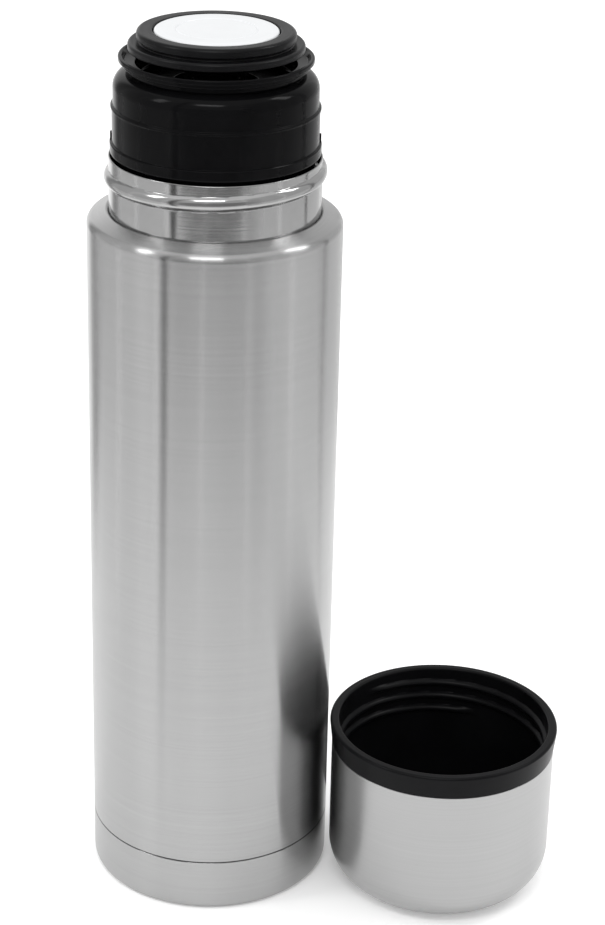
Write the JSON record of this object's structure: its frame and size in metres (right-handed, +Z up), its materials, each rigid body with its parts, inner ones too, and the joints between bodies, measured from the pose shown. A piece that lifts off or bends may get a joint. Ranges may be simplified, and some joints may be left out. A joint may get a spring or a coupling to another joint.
{
  "type": "vacuum flask",
  "caption": "Tall steel vacuum flask with a push-button pouring stopper screwed into its neck and a separate screw-on steel cup standing beside it.",
  "frame": {"origin": "centre of the flask's base, on the surface it stands on", "axes": "+Z up along the flask's axis; +X towards the cup that stands beside it; -Y towards the viewer of the front"},
  "size_m": [0.16, 0.0952, 0.2972],
  "materials": {
    "brushed_steel": "fine circumferential brushing",
    "cup_steel": "satin brushed",
    "polished_steel": "polished",
    "plain_steel": "plain sheet",
    "seal_brass": "dull",
    "getter_metal": "sintered",
    "foil": "bright foil",
    "black_plastic": "gloss",
    "satin_black_plastic": "satin",
    "cup_plastic": "satin",
    "white_plastic": "gloss",
    "silicone": "matte",
    "foam": "foam"
  },
  "bodies": {
    "flask": {"outer_shell": "brushed_steel", "base_cover": "brushed_steel", "outer_bottom": "plain_steel", "vacuum_seal": "seal_brass", "getter_clip": "plain_steel", "getter": "getter_metal", "inner_liner": "polished_steel", "liner_bottom": "polished_steel", "radiation_foil": "foil"},
    "gasket": {"stopper_gasket": "silicone"},
    "stopper": {"stopper_body": "black_plastic", "valve_seat": "black_plastic", "stopper_foam": "foam", "stopper_top": "satin_black_plastic", "stem_seal": "silicone", "button_spring": "plain_steel"},
    "button": {"push_button": "white_plastic", "valve_stem": "plain_steel", "valve_disc": "black_plastic", "valve_seal": "silicone"},
    "cup": {"cup_shell": "cup_steel", "cup_liner": "cup_plastic"}
  },
  "joints": [
    {"name": "stopper_lift", "type": "slide", "parent": "flask", "child": "gasket", "axis": [0, 0, 1], "range_m": [0, 0.0312]},
    {"name": "stopper_turn", "type": "hinge", "parent": "gasket", "child": "stopper", "pos_m": [0, 0, 0.25], "axis": [0, 0, 1], "range_deg": [0, 2160]},
    {"name": "button_press", "type": "slide", "parent": "stopper", "child": "button", "axis": [0, 0, -1], "range_m": [0, 0.0035], "stiffness_N_per_m": 1500, "springref_m": -0.002, "deforming": ["button_spring"]},
    {"name": "cup_lift", "type": "slide", "parent": "flask", "child": "cup", "axis": [0, 0, 1], "range_m": [0, 0.12]}
  ],
  "couplings": [
    {"joint": "stopper_lift", "follows": "stopper_turn", "m_per_rad": 0.00082761}
  ]
}
